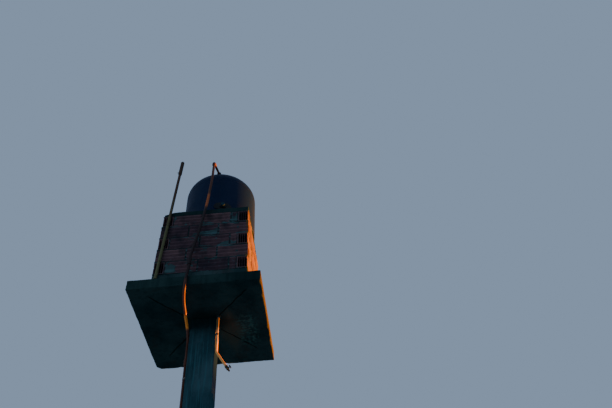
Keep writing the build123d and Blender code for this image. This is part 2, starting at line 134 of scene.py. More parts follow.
class Finish:
    """A procedural material. Its node method adds any node: type, settings, then sockets."""

    def __init__(self, name, **constants):
        self.material = bpy.data.materials.new(name)
        self.material.use_nodes = True
        self.tree = self.material.node_tree
        self.shader = self.tree.nodes["Principled BSDF"]
        for words, value in constants.items():
            socket = words.replace("_", " ").title().replace("Ior", "IOR")
            self.shader.inputs[socket].default_value = value
        self.place = self.node("ShaderNodeTexCoord", output="Object")
        split = self.node("ShaderNodeSeparateXYZ", {}, {0: self.place})
        self.x, self.y, self.z = (Wire(self, socket) for socket in split.socket.node.outputs)

    def node(self, kind, settings=None, sockets=None, output=0):
        node = self.tree.nodes.new(kind)
        for setting, value in (settings or {}).items():
            if setting == "stops":
                self.set_stops(node.color_ramp.elements, value)
            else:
                setattr(node, setting, value)
        for socket, value in (sockets or {}).items():
            self.feed(node.inputs[socket], value)
        return Wire(self, node.outputs[output])

    def set_stops(self, elements, stops):
        while len(elements) < len(stops):
            elements.new(1.0)
        for element, (position, colour) in zip(elements, stops):
            element.position = position
            element.color = (*colour, 1)

    def feed(self, socket, value):
        if isinstance(value, Wire):
            self.tree.links.new(value.socket, socket)
        elif socket.type == "RGBA":
            socket.default_value = (*value, 1)
        else:
            socket.default_value = value

    def noise(self, size, detail=4.0, stretch=(1, 1, 1), rough=0.55):
        """Noise from 0 to 1 with features about `size` metres across, longer where stretched."""
        scale = [1 / share for share in stretch]
        place = self.node("ShaderNodeMapping", {}, {"Vector": self.place, "Scale": scale})
        sockets = {"Vector": place, "Scale": 1 / size, "Detail": detail, "Roughness": rough}
        return self.node("ShaderNodeTexNoise", {}, sockets)

    def cells(self, size):
        """Distance to the nearest of scattered points about `size` metres apart."""
        return self.node("ShaderNodeTexVoronoi", {}, {"Vector": self.place, "Scale": 1 / size})

    def fade(self, value, low, high):
        """0 below low, 1 above high and a smooth step between, or the reverse when low > high."""
        sockets = {"Value": value, "From Min": low, "From Max": high}
        return self.node("ShaderNodeMapRange", {"interpolation_type": "SMOOTHSTEP"}, sockets)

    def band(self, value, start, full, still_full, end):
        """0 up to start, 1 from full to still_full, and 0 again from end on."""
        return self.fade(value, start, full) * self.fade(value, end, still_full)

    def mix(self, share, first, second):
        """First where share is 0, second where it is 1."""
        return self.node(
            "ShaderNodeMix", {"data_type": "RGBA"}, {0: share, 6: first, 7: second}, output=2
        )

    def attribute(self, name):
        return self.node("ShaderNodeAttribute", {"attribute_name": name}, {}, output="Fac")

    def end(self, colour, roughness=None, height=None, relief=0.001):
        """Feed the shader: base colour, roughness and a bump from a height from 0 to 1, which
        stands for `relief` metres."""
        self.feed(self.shader.inputs["Base Color"], colour)
        if roughness is not None:
            self.feed(self.shader.inputs["Roughness"], roughness)
        if height is not None:
            sockets = {"Strength": 1.0, "Distance": relief, "Height": height}
            self.feed(self.shader.inputs["Normal"], self.node("ShaderNodeBump", {}, sockets))
        return self.material


floor_half = 14.0
floor_corners = [(x * floor_half, y * floor_half, 0) for x in (-1, 1) for y in (-1, 1)]
floor_mesh = bpy.data.meshes.new("studio_floor")
floor_mesh.from_pydata(floor_corners, [], [(0, 2, 3, 1)])
studio_floor = bpy.data.objects.new("studio_floor", floor_mesh)
bpy.context.scene.collection.objects.link(studio_floor)
pale_floor = Finish("pale_floor", roughness=0.9)
floor_colour = pale_floor.mix(pale_floor.noise(2.0), (0.60, 0.60, 0.59), (0.66, 0.66, 0.65))
floor_mesh.materials.append(pale_floor.end(floor_colour))


# Column. A pier of cast concrete, poured in board forms in three lifts: an upright line is left
# where two boards met and a level joint between the lifts, and the arrises have chipped.
def lumps(points, size, seed):
    """Smooth noise from -1 to 1: random values on a cubic lattice `size` apart, blended between
    the eight corners of each cell by a smooth step."""
    table = np.random.default_rng(seed).uniform(-1, 1, 4096)
    lattice_primes = np.array([73856093, 19349663, 83492791])
    scaled = points / size
    cell = np.floor(scaled).astype(np.int64)
    part = scaled - cell
    part = part * part * (3 - 2 * part)
    total = np.zeros(points.shape[:-1])
    for corner in itertools.product((0, 1), repeat=3):
        key = np.bitwise_xor.reduce((cell + np.array(corner)) * lattice_primes, axis=-1)
        weight = np.prod(np.where(np.array(corner, bool), part, 1 - part), axis=-1)
        total += table[key % len(table)] * weight
    return total


def ramp_up(value, low, high):
    """0 below low, 1 above high, with a smooth step between."""
    share = np.clip((value - low) / (high - low), 0, 1)
    return share * share * (3 - 2 * share)


def stations(low, high, cell, edge, extra):
    """Grid lines from low to high: about `cell` apart, with two more in each edge band."""
    count = max(2, int(round((high - low - 2 * edge) / cell)) + 1)
    lines = np.linspace(low + edge, high - edge, count)
    ends = [low, low + edge / 3, low + 2 * edge / 3, high - 2 * edge / 3, high - edge / 3, high]
    return np.unique(np.round(np.concatenate([lines, ends, list(extra)]), 6))


def grid_faces(rows, columns, turned=False, wrap=False):
    """Quads of a grid of points stored row by row. Wrapped, the last column joins the first."""
    across = columns if wrap else columns - 1
    row, column = np.meshgrid(np.arange(rows - 1), np.arange(across), indexing="ij")
    beside = (column + 1) % columns
    here, above = row * columns, (row + 1) * columns
    corners = [here + column, here + beside, above + beside, above + column]
    quads = np.stack([corner.ravel() for corner in corners], axis=1)
    return quads[:, ::-1] if turned else quads


def join(pieces):
    """One array of points and one of quads from several."""
    starts = np.cumsum([0] + [len(points) for points, _ in pieces[:-1]])
    points = np.concatenate([points for points, _ in pieces])
    quads = np.concatenate([quads + start for (_, quads), start in zip(pieces, starts)])
    return points, quads


def shown(name, points, quads, finish, nodes, merge=3e-6, attributes=None):
    """Make the piece from arrays of points and quads, merge its seams and poles, and put it in
    the place of its CAD nodes. Attributes are values at the points, kept through the merge."""
    mesh = bpy.data.meshes.new(name)
    mesh.vertices.add(len(points))
    mesh.vertices.foreach_set("co", np.ascontiguousarray(points, dtype=np.float32).ravel())
    mesh.loops.add(quads.size)
    mesh.loops.foreach_set("vertex_index", quads.astype(np.int32).ravel())
    mesh.polygons.add(len(quads))
    mesh.polygons.foreach_set("loop_start", np.arange(0, quads.size, 4, dtype=np.int32))
    mesh.polygons.foreach_set("loop_total", np.full(len(quads), 4, dtype=np.int32))
    mesh.update(calc_edges=True)
    for key, values in (attributes or {}).items():
        layer = mesh.attributes.new(key, "FLOAT", "POINT")
        layer.data.foreach_set("value", values.astype(np.float32))
    work = bmesh.new()
    work.from_mesh(mesh)
    bmesh.ops.remove_doubles(work, verts=work.verts, dist=merge)
    bmesh.ops.dissolve_degenerate(work, edges=work.edges, dist=merge)
    work.to_mesh(mesh)
    work.free()
    mesh.shade_smooth()
    mesh.materials.append(finish)
    piece = bpy.data.objects.new(name, mesh)
    bpy.context.scene.collection.objects.link(piece)
    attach(piece, "root")
    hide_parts(*nodes)


def block(low, high, cell, edge, wear=0.0, seed=0, extra=((), (), ())):
    """Points, quads and outward directions of a box with rounded edges. Each point of six face
    grids is pulled to a core box that is smaller by the edge radius, then pushed back out by
    that radius along the same line. The radius varies with noise by the share `wear`."""
    low, high = np.array(low, float), np.array(high, float)
    lines = [stations(low[axis], high[axis], cell, edge, extra[axis]) for axis in range(3)]
    grids = []
    for axis, side in itertools.product(range(3), (0, 1)):
        first, second = lines[(axis + 1) % 3], lines[(axis + 2) % 3]
        grid = np.zeros((len(first), len(second), 3))
        grid[..., axis] = (low, high)[side][axis]
        grid[..., (axis + 1) % 3] = first[:, None]
        grid[..., (axis + 2) % 3] = second[None, :]
        grids.append((grid.reshape(-1, 3), grid_faces(len(first), len(second), turned=side == 1)))
    points, quads = join(grids)
    worn = 1 + wear * (lumps(points, 0.12, seed) + 0.6 * lumps(points, 0.03, seed + 1))
    radius = edge * np.clip(worn, 0.3, None)[:, None]
    core = np.clip(points, low + radius, high - radius)
    out = points - core
    out /= np.linalg.norm(out, axis=1)[:, None]
    return core + out * radius, quads, out


def sunk_face(points, seed, *sizes):
    """How many metres a cast face lies inside its box: lumps added up, as (depth, size)."""
    return sum(
        deep * (1 + lumps(points, size, seed + step)) for step, (deep, size) in enumerate(sizes)
    )


def at_arris(out):
    """1 on an arris and 0 on a flat face, from the second largest part of the direction."""
    return ramp_up(np.sort(abs(out), axis=1)[:, 1], 0.15, 0.5)


def concrete(name, dark, pale, stain, pore):
    """Cast concrete: broad and fine patches of two greys, brown stains, streaks that run down
    and small dark pores. Gives the finish, its colour so far, its speckle and its pores."""
    finish = Finish(name, roughness=0.9, specular_ior_level=0.0)
    patches = finish.fade(finish.noise(0.42, 5.0), 0.36, 0.64)
    speckle = finish.noise(0.016, 6.0, rough=0.7)
    streaks = finish.fade(finish.noise(0.05, 3.0, stretch=(1, 1, 14)), 0.48, 0.72)
    colour = finish.mix(patches * 0.6 + speckle * 0.4, dark, pale)
    colour = finish.mix(streaks * 0.35, colour, [shade * 0.6 for shade in dark])
    colour = finish.mix(finish.fade(finish.noise(0.23, 6.0), 0.56, 0.74) * 0.55, colour, stain)
    pores = finish.fade(finish.cells(pore), 0.30, 0.12)
    pores *= finish.fade(finish.noise(0.07), 0.42, 0.60)
    colour = finish.mix(pores * 0.7, colour, [shade * 0.35 for shade in dark])
    return finish, colour, speckle, pores


column_low, column_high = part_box("column")
pier, pier_grey, speckle, pores = concrete(
    "column_concrete", (0.013, 0.038, 0.048), (0.050, 0.098, 0.114), (0.038, 0.052, 0.053), 0.012
)
pale_streaks = pier.fade(pier.noise(0.014, 4.0, stretch=(1, 1, 24)), 0.50, 0.64)
pier_grey = pier.mix(pale_streaks * 0.5, pier_grey, (0.048, 0.128, 0.148))
# Darker towards the top of the column, under the slab.
dark_head_deep = 0.26
dark_head = pier.fade(pier.z + pier.noise(0.1) * 0.15, column_high.z - dark_head_deep, column_high.z)
pier_grey = pier.mix(dark_head * 0.9, pier_grey, (0.003, 0.012, 0.012))

# On the drain's side of the column, from the slab down: painted shade, painted sunlight as a pale
# orange strip beside the pipe as far as its bend, and a longer painted shade with a ragged foot.
collar_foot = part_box("drain_collar")[0].z
painted_light_top, painted_light_full_top = collar_foot - 0.14, collar_foot - 0.22
bend_high, bend_low = collar_foot - 0.36, collar_foot - 0.40
painted_shade_low, painted_shade_foot = collar_foot - 0.54, collar_foot - 0.74
drain_side = pier.attribute("drain_side")
ragged = pier.z + pier.noise(0.03, 3.0, stretch=(1, 1, 14)) * 0.5
below_bend = pier.fade(ragged, painted_shade_foot, painted_shade_low) * pier.fade(pier.z, bend_high, bend_low)
at_slab = pier.fade(pier.z, painted_light_full_top, collar_foot - 0.12)
# Painted shade on the drain's side, below the bend and just under the slab.
painted_shade_on_side = drain_side * (below_bend + at_slab)
pier_grey = pier.mix(painted_shade_on_side, pier_grey, (0.0055, 0.018, 0.070))
# Painted sunlight: a pale orange strip beside the pipe, from its bend nearly to the slab.
painted_sunlit_strip = drain_side * pier.band(pier.z, bend_low, bend_high, painted_light_full_top, painted_light_top)
painted_sunlit_strip *= pier.fade(pier.noise(0.03, 4.0, stretch=(1, 1, 5)), 0.36, 0.50)
pier_grey = pier.mix(painted_sunlit_strip * 0.6, pier_grey, (0.34, 0.17, 0.045))
column_relief = speckle * 0.5 + pier.noise(0.005) * 0.2 + (1 - pores) * 0.5
column_skin = pier.end(pier_grey, None, column_relief, relief=0.0016)

lift = (column_high.z - column_low.z) / 3
lift_joint = 0.008
board_line = 0.006
board_at = 0.04 * (column_high.x - column_low.x) / 2
line_steps = (-1, -0.5, 0, 0.5, 1)
board_stops = [board_at + step * board_line for step in line_steps]
lift_stops = [lift * index + step * lift_joint for index in (1, 2) for step in line_steps]
points, quads, out = block(
    column_low, column_high, cell=0.016, edge=0.009, wear=0.7, seed=1,
    extra=(board_stops, (), lift_stops),
)
groove = ramp_up(-abs(points[:, 0] - board_at), -board_line, 0)
joints = sum(ramp_up(-abs(points[:, 2] - lift * index), -lift_joint, 0) for index in (1, 2))
pits = ramp_up(lumps(points, 0.035, 4), 0.45, 0.8) * ramp_up(lumps(points, 0.3, 5), 0.0, 0.5)
chips = ramp_up(lumps(points, 0.07, 6), 0.45, 0.9) * at_arris(out)
depth = sunk_face(points, 2, (0.0012, 0.5), (0.0006, 0.05))
depth += 0.0022 * groove + 0.0028 * joints + 0.0045 * pits + 0.008 * chips
shown(
    "column_cast", points - out * depth[:, None], quads, column_skin, ["column"],
    attributes={"drain_side": ramp_up(out[:, 0], 0.35, 0.75)},
)


# Platform slab. One square slab of concrete cast on boards, with the boards' lines under it,
# its back left corner broken away, and cracks that run from the column towards the corners.
slab_low, slab_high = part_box("platform_slab")
slab, slab_grey, speckle, pores = concrete(
    "slab_concrete", (0.006, 0.019, 0.020), (0.026, 0.052, 0.050), (0.022, 0.024, 0.020), 0.018
)
under = slab.fade(slab.z, slab_low.z + 0.012, slab_low.z + 0.002)
smudge_x, smudge_y = 0.28, 0.19
smudge = slab.fade(abs(slab.x - smudge_x) + abs(slab.y - smudge_y) * 0.42, 0.24, 0.08) * under
slab_grey = slab.mix(smudge * 0.8, slab_grey, (0.050, 0.056, 0.040))
# Painted shade under the slab round the column's head.
painted_column_shade = slab.fade(abs(slab.x) * 0.8 + abs(slab.y), 0.36, 0.20) * under
slab_grey = slab.mix(painted_column_shade * 0.55, slab_grey, (0.010, 0.016, 0.014))

# A crack starts at each of the column's corners and wanders outwards, up to crack_end from it.
crack_slope, crack_width = 0.86, 0.015
crack_start, crack_end = 0.02, 0.42
corner_x, corner_y, middle_y = (column_high.x - column_low.x) / 2, 0.1025, 0.02
crack_x, crack_y = abs(slab.x) - corner_x, abs(slab.y - middle_y) - corner_y
wander = (slab.noise(0.12, 3.0) - 0.5) * 0.05
crack = slab.fade(abs(crack_x - crack_y * crack_slope + wander), crack_width, 0.005)
crack = crack * slab.fade(crack_x, 0.0, crack_start) * slab.fade(crack_x, crack_end, 0.36) * under
slab_grey = slab.mix(crack * 0.9, slab_grey, (0.004, 0.006, 0.005))

# Mottled lime under the slab's right half, and painted orange sunlight, broken up, on its right
# edge.
lime_x, lime_y = 0.47, 0.20
lime = slab.fade(slab.noise(0.045, 6.0), 0.44, 0.60) * under
lime *= slab.fade(abs(slab.x - lime_x), 0.16, 0.06)
lime *= slab.fade(abs(slab.y - lime_y), 0.36, 0.20)
slab_grey = slab.mix(lime * 0.8, slab_grey, (0.034, 0.092, 0.080))
# Painted sunlight on the slab's right face.
painted_sun_edge = slab.fade(slab.x, slab_high.x - 0.016, slab_high.x - 0.010)
painted_sun_breakup = slab.fade(slab.noise(0.016, 6.0, rough=0.7), 0.28, 0.66)
slab_grey = slab.mix(painted_sun_edge * painted_sun_breakup * 0.8, slab_grey, (0.075, 0.050, 0.024))
slab_relief = speckle * 0.5 + (1 - pores) * 0.4 + (1 - crack) * 0.6
slab_skin = slab.end(slab_grey, None, slab_relief, relief=0.0022)

slab_board = 0.205
board_offset = 0.0004
seam_half = 0.005
slab_seams = np.arange(slab_low.x + slab_board, slab_high.x - 0.05, slab_board)
seam_stops = [line + step * 0.004 for line in slab_seams for step in (-1, 0, 1)]
points, quads, out = block(
    slab_low, slab_high, cell=0.017, edge=0.007, wear=0.8, seed=11, extra=(seam_stops, (), ())
)
board = np.floor((points[:, 0] - slab_low.x) / slab_board).astype(int)
board_set = np.random.default_rng(12).uniform(0, board_offset, board.max() + 1)[board]
seam = sum(ramp_up(-abs(points[:, 0] - line), -seam_half, 0) for line in slab_seams)
facing_down = ramp_up(-out[:, 2], 0.3, 0.9)
pits = ramp_up(lumps(points, 0.045, 14), 0.5, 0.85) * ramp_up(lumps(points, 0.35, 15), 0.0, 0.5)
chips = ramp_up(lumps(points, 0.09, 16), 0.35, 0.85) * at_arris(out)
depth = sunk_face(points, 12, (0.0015, 0.4), (0.0008, 0.04)) + 0.004 * pits + 0.012 * chips
depth += facing_down * (board_set + 0.0008 * seam)
points -= out * depth[:, None]
broken_corner = 0.055
inside_corner = (points[:, 0] - slab_low.x) + (slab_high.y - points[:, 1])
rough_break = broken_corner + 0.006 * (1 + lumps(points, 0.03, 17))
pull = np.clip(rough_break - inside_corner, 0, None) / 2
points += pull[:, None] * np.array([1, -1, 0])
shown("slab_cast", points, quads, slab_skin, ["platform_slab"])


# Bed. A rough band of mortar and concrete that levels the slab under the first course. The cap
# on the walls is of the same mix, darker.
cap_low, cap_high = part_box("pedestal_cap")
bed, bed_grey, speckle, pores = concrete(
    "bed_mortar", (0.011, 0.030, 0.032), (0.046, 0.078, 0.080), (0.044, 0.044, 0.042), 0.014
)
on_walls = bed.fade(bed.z, cap_low.z - 0.01, cap_low.z)
bed_grey = bed.mix(on_walls * 0.45, bed_grey, (0.004, 0.015, 0.015))
bed_relief = speckle * 0.7 + (1 - pores) * 0.5
bed_skin = bed.end(bed_grey, None, bed_relief, relief=0.003)
points, quads, out = block(*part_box("pedestal_bed"), cell=0.013, edge=0.010, wear=0.8, seed=21)
depth = sunk_face(points, 22, (0.003, 0.15), (0.0018, 0.03))
depth *= ramp_up(abs(out[:, 2]), 0.9, 0.2) * 0.9 + 0.1
shown("bed_cast", points - out * depth[:, None], quads, bed_skin, ["pedestal_bed"])


# Pedestal walls. Hollow clay bricks laid on edge in five courses, longways and endways by
# turns at the corners, with grey mortar pushed into the joints and smeared over the bricks.
course_count = 5
bed_joint = 0.012
head_joint = 0.015
brick_deep = 0.120
brick_shell = 0.0105
end_round = 0.0025
ridge_deep = 0.0030
pocket = 0.105
web_thick = 0.0075
corner_margin = 0.1125
lean_blend = 0.06
mortar_cell = 0.010
wall_low, wall_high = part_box("front_wall")
pedestal_low = Vector((cap_low.x, wall_low.y, wall_low.z))
pedestal_high = Vector((wall_high.x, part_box("back_wall")[1].y, wall_high.z))
pedestal_side = pedestal_high.x - pedestal_low.x
course_height = (wall_high.z - wall_low.z) / course_count
brick_high = course_height - bed_joint
course_lean = (cap_low.x - wall_low.x) * (1 - (np.arange(course_count) + 0.5) / course_count)


def lean_at(height):
    """How far the left side stands out at a height over the bed: each course in one step, with
    the change from one to the next inside the bed joint."""
    edges = (bed_joint, course_height)
    stops = [course * course_height + edge for course in range(course_count) for edge in edges]
    return np.interp(height, stops, np.repeat(course_lean, 2))


def ridged_outline():
    """Outline across a brick, as (out, up) points: bands of ridges on the outer face, cut by a
    sine wave, plain strips between them, and a rounded corner at each end."""
    bands, ridges = 3, 5
    strip, corner = 0.014, 0.004
    up = np.linspace(corner, brick_high - corner, 101)
    band_high = (brick_high - strip) / bands
    ridged = band_high - strip
    within = (up - strip / 2) % band_high
    in_band = ramp_up(within, 0, corner) * ramp_up(ridged - within, -corner, corner)
    wave = 0.5 - 0.5 * np.cos(within / ridged * ridges * 2 * math.pi)
    face = np.stack([-ridge_deep * in_band * wave, up], axis=1)
    turn = np.radians(np.array([0, 30, 60, 90]))
    front = np.stack([np.cos(turn), np.sin(turn)], axis=1) * corner
    back = np.stack([-front[::-1, 0], front[::-1, 1]], axis=1)
    top_front = front + (-corner, brick_high - corner)
    top_back = back + (corner - brick_deep, brick_high - corner)
    low_back = -front + (corner - brick_deep, corner)
    low_front = -back + (-corner, corner)
    return np.concatenate([face, top_front, top_back, low_back, low_front])


brick_outline = ridged_outline()


def brick(start, end, open_start, open_end):
    """Points and quads of one brick as (along, up, out). Its outline is carried along its
    length. An end closes in a point at its middle, or first turns in and back as a pocket."""
    middle = brick_outline.mean(axis=0)
    low, high = brick_outline.min(axis=0) + brick_shell, brick_outline.max(axis=0) - brick_shell
    inner = np.clip(brick_outline, low, high)
    closed = np.broadcast_to(middle, brick_outline.shape)
    shrink = 1 - 2 * end_round / (high - low + 2 * brick_shell)
    slim = middle + (brick_outline - middle) * shrink
    steps = [start + end_round, *np.linspace(start, end, 15)[1:-1], end - end_round]
    head, tail = [(start, closed)], [(end, closed)]
    if open_start:
        head = [(start + pocket, closed), (start + pocket, inner), (start, inner)]
    if open_end:
        tail = [(end, inner), (end - pocket, inner), (end - pocket, closed)]
    rings = [*head, (start, slim), *((step, brick_outline) for step in steps), (end, slim), *tail]
    points = [np.column_stack([np.full(len(ring), place), ring[:, ::-1]]) for place, ring in rings]
    quads = grid_faces(len(rings), len(brick_outline), turned=True, wrap=True)
    return np.concatenate(points), quads


def webs(start, into):
    """The thin walls that part a brick's eight tall holes, one level and three upright, as
    closed plates just inside its open end. Into is the way into the brick, 1 or -1."""
    seat, web_end = 0.008, 0.100
    level_in, upright_in = 0.030, 0.0015
    middle, half = brick_high / 2, web_thick / 2
    first, last = sorted((start + into * level_in, start + into * web_end))
    plates = [((first, middle - half, seat - brick_deep), (last, middle + half, -seat))]
    first, last = sorted((start + into * upright_in, start + into * web_end))
    for share in (1 / 4, 2 / 4, 3 / 4):
        out = brick_shell - brick_deep + share * (brick_deep - 2 * brick_shell)
        plates.append(((first, seat, out - half), (last, brick_high - seat, out + half)))
    return join([block(low, high, cell=0.06, edge=0.0015)[:2] for low, high in plates])


def course_bricks(runs_full, joints_full, joints_short, first, last):
    """Bricks of one course, as (start, end, open at start, open at end) along the wall from
    first to last. A full course runs to both corners. A short one stops at the bricks that
    cross its ends."""
    half = head_joint / 2
    if runs_full:
        stops = [first - half, *joints_full, last + half]
        spans = [(a + half, b - half) for a, b in zip(stops, stops[1:])]
        return [(a, b, index == 0, index == len(spans) - 1) for index, (a, b) in enumerate(spans)]
    stops = [first + brick_deep + half, *joints_short, last - brick_deep - half]
    return [(a + half, b - half, False, False) for a, b in zip(stops, stops[1:])]


def brick_wall(
    name, corner, along, full_courses, joints_full, joints_short, uneven, raked, daubs, seed
):
    """Bricks and mortar of one wall. Its own frame has u along the wall as seen from outside,
    w up and d out, so a place in the tower is corner + u * along + w * up + d * out. The share
    of the lean that the wall's start, end and face take is how far each of them faces left."""
    along = np.array(along, float)
    out = np.array([along[1], -along[0], 0.0])
    axes = np.array([along, (0, 0, 1), out])
    origin = np.array([*corner, pedestal_low.z])
    left_start, left_end, left_face = max(along[0], 0), max(-along[0], 0), max(-out[0], 0)
    knock_deep, knock_high, knock_long = 0.0055, 0.022, 0.03
    grain_deep, grain_size = 0.0007, 0.022
    rng = np.random.default_rng(seed)
    pieces, shades, scores, spans = [], [], [], []
    for course in range(course_count):
        base = course * course_height + bed_joint * 0.5
        first = -left_start * course_lean[course]
        last = pedestal_side + left_end * course_lean[course]
        bricks = course_bricks(course in full_courses, joints_full, joints_short, first, last)
        for start, end, open_start, open_end in bricks:
            spans.append((start, end, base, base + brick_high))
            points, quads = brick(start, end, open_start, open_end)
            score = np.tile(-brick_outline[:, 0] / ridge_deep, len(points) // len(brick_outline))
            score *= points[:, 2] > -0.004
            parts = [(points, quads)]
            if open_start:
                parts.append(webs(start, 1))
            if open_end:
                parts.append(webs(end, -1))
            points, quads = join(parts)
            score = np.concatenate([score, np.ones(len(points) - len(score))])
            centre = np.array([(start + end) / 2, brick_high / 2, -brick_deep / 2])
            offset = points - centre
            turn = rng.normal(0, 0.0035, 3)
            set_back = left_face * course_lean[course] - uneven * rng.uniform(0, 1) - 0.0008
            points = points + np.cross(turn, offset) + (0, base, set_back)
            knock = ramp_up(lumps(points + seed, 0.05, seed), 0.35, 0.9)
            half_high, half_long = brick_high / 2, (end - start) / 2
            near_edge = ramp_up(abs(offset[:, 1]), half_high - knock_high, half_high)
            near_end = ramp_up(abs(offset[:, 0]), half_long - knock_long, half_long)
            faced = points[:, 2] > -0.006
            points[:, 2] -= knock_deep * knock * np.maximum(near_edge, near_end) * faced
            points[:, 2] += grain_deep * lumps(points, grain_size, seed + 3) * faced
            pieces.append((points, quads))
            shades.append(np.full(len(points), rng.uniform(0, 1)))
            scores.append(np.clip(score, 0, 1))
    points, quads = join(pieces)
    shown(
        f"{name}_bricks", points @ axes + origin, quads, brick_skin, [name],
        merge=1e-6,
        attributes={"brick_shade": np.concatenate(shades), "scoring": np.concatenate(scores)},
    )
    points, quads, smear = mortar(spans, left_start, left_end, raked, daubs, seed)
    points[:, 2] += left_face * lean_at(points[:, 1])
    bodies = [(points @ axes + origin, quads)]
    if abs(along[0]) > 0:
        for middle in (brick_deep / 2, pedestal_side - brick_deep / 2):
            bodies.append(corner_pads(origin + middle * along - brick_deep / 2 * out, seed + 17))
    points, quads = join(bodies)
    smear = np.concatenate([smear, np.zeros(len(points) - len(smear))])
    shown(
        f"{name}_mortar", points, quads, mortar_skin, [name],
        attributes={"smear": smear},
    )


def mortar(spans, left_start, left_end, raked, daubs, seed):
    """One closed body of mortar behind and between a wall's bricks. Its face is a height over
    (u, w): a few millimetres in from the bricks' face at the joints, deep inside the bricks,
    and up in their grooves or just over them where it was smeared, at random and at the daubs.
    A daub is a middle (u, w) and its two half widths."""
    most_proud, sunk, behind = 0.0018, -0.009, -0.1165
    high = course_height * course_count
    first, last = corner_margin, pedestal_side - corner_margin
    near = np.array([-0.002, 0.0015, 0.006])
    per_metre = 2000
    lines_u = [np.arange(first, last, mortar_cell), [first, last]]
    lines_w = [np.arange(0, high, mortar_cell), [high]]
    for start, end, low, top in spans:
        lines_u += [start + near, end - near]
        lines_w += [low + near, top - near]
    lines_u = np.clip(np.concatenate(lines_u), first, last)
    lines_w = np.clip(np.concatenate(lines_w), 0.0, high)
    snapped = [np.unique(np.round(line * per_metre)) / per_metre for line in (lines_u, lines_w)]
    u, w = np.meshgrid(*snapped, indexing="ij")
    u = u - left_start * lean_at(w) * ramp_up(-u, -first - lean_blend, -first)
    u = u + left_end * lean_at(w) * ramp_up(u, last - lean_blend, last)
    inside = np.full(u.shape, -1.0)
    for start, end, low, top in spans:
        from_ends, from_beds = np.minimum(u - start, end - u), np.minimum(w - low, top - w)
        inside = np.maximum(inside, np.minimum(from_ends, from_beds))
    spot = np.stack([u, w, np.full(u.shape, seed * 1.7)], axis=-1)
    joint_face = 0.0026 * lumps(spot, 0.05, seed + 7) - raked
    joint_face += 0.0014 * lumps(spot, 0.014, seed + 8)
    patch = lumps(spot, 0.13, seed + 5) + 0.6 * lumps(spot, 0.035, seed + 6)
    for middle_u, middle_w, half_u, half_w in daubs:
        away = np.hypot((u - middle_u) / half_u, (w - middle_w) / half_w)
        patch += 1.35 * ramp_up(-away, -1.0, -0.3)
    smear = ramp_up(patch + 0.6 * ramp_up(-inside, -0.03, 0.0), 0.35, 1.20)
    smear_face = -0.0044 + 0.0050 * smear + 0.0006 * lumps(spot, 0.012, seed + 9)
    reach = ramp_up(inside, 0.000, 0.006)
    face = np.minimum(joint_face * (1 - reach) + smear_face * reach, most_proud)
    face = np.where((inside > 0.005) & (smear < 0.12), sunk, face)
    front = np.stack([u, w, face], axis=-1)
    back = np.stack([u, w, np.full(u.shape, behind)], axis=-1)
    parts = [(front.reshape(-1, 3), grid_faces(*u.shape, turned=True))]
    parts.append((back.reshape(-1, 3), grid_faces(*u.shape)))
    every = slice(None)
    edges = (((every, 0), True), ((every, -1), False), ((0, every), False), ((-1, every), True))
    for edge, turned in edges:
        line = np.stack([front[edge], back[edge]])
        parts.append((line.reshape(-1, 3), grid_faces(2, line.shape[1], turned=turned)))
    points, quads = join(parts)
    value = np.concatenate([(smear * reach).ravel(), np.zeros(len(points) - smear.size)])
    return points, quads, value


def corner_pads(corner, seed):
    """Closed pads of mortar in the bed joints under and over the bricks of one corner. Their
    rough sides stand a few millimetres in from both walls' faces."""
    pads = []
    is_left = corner[0] < (pedestal_low.x + pedestal_high.x) / 2
    pad_half, overlap = 0.062, 0.0035
    half = np.array([pad_half, pad_half, bed_joint / 2 + overlap])
    for joint in range(course_count + 1):
        height = joint * course_height
        middle = np.array([corner[0], corner[1], pedestal_low.z + height])
        middle[0] -= is_left * lean_at(height)
        low, high = middle - half, middle + half
        low[2], high[2] = max(low[2], pedestal_low.z), min(high[2], pedestal_high.z)
        points, quads, out = block(low, high, cell=0.007, edge=0.003, wear=0.5, seed=seed + joint)
        depth = 0.0032 + 0.0022 * lumps(points, 0.04, seed)
        depth = (depth + 0.0010 * lumps(points, 0.012, seed + 1)) * (abs(out[:, 2]) < 0.5)
        pads.append((points - out * depth[:, None], quads))
    return join(pads)


# The bricks' clay: each fired to its own red, gritty, sooty, with painted shade in its grooves
# and a grey bloom, and painted orange sunlight in streaks on the right wall.
sun_start, sun_full = pedestal_high.x - 0.030, pedestal_high.x - 0.022
clay = Finish("hollow_brick", roughness=0.88, specular_ior_level=0.05)
firing = clay.attribute("brick_shade") * 0.7 + clay.noise(0.10, 4.0) * 0.7 - 0.15
stops = (
    (0.10, (0.012, 0.015, 0.023)), (0.34, (0.040, 0.028, 0.037)),
    (0.56, (0.082, 0.047, 0.056)), (0.84, (0.142, 0.078, 0.083)),
)
fired = clay.node("ShaderNodeValToRGB", {"stops": stops}, {0: firing})
grit = clay.noise(0.006, 5.0, rough=0.7)
fired = clay.mix(clay.fade(grit, 0.55, 0.8) * 0.4, fired, (0.130, 0.065, 0.058))
soot = clay.fade(clay.noise(0.17, 5.0), 0.47, 0.68)
soot *= clay.fade(clay.z, pedestal_low.z + 0.05, pedestal_low.z + 0.28)
fired = clay.mix(soot * 0.65, fired, (0.010, 0.018, 0.021))
bloom = clay.fade(clay.noise(0.055, 6.0), 0.56, 0.70) * clay.fade(clay.noise(0.3), 0.42, 0.6)
fired = clay.mix(bloom * 0.6, fired, (0.080, 0.098, 0.120))
# Painted shade in the grooves of the scoring.
fired = clay.mix(clay.attribute("scoring") * 0.55, fired, (0.013, 0.010, 0.013))
# Painted sunlight in streaks on the right wall's bricks.
painted_sunlight_streaks = clay.fade(clay.noise(0.06, 5.0, stretch=(1, 1, 5)), 0.42, 0.62)
painted_sunlight_streaks *= clay.fade(clay.x, sun_start, sun_full)
fired = clay.mix(painted_sunlight_streaks * 0.6, fired, (0.160, 0.078, 0.006))
brick_skin = clay.end(fired, None, grit * 0.6 + clay.noise(0.0025) * 0.4, relief=0.0010)
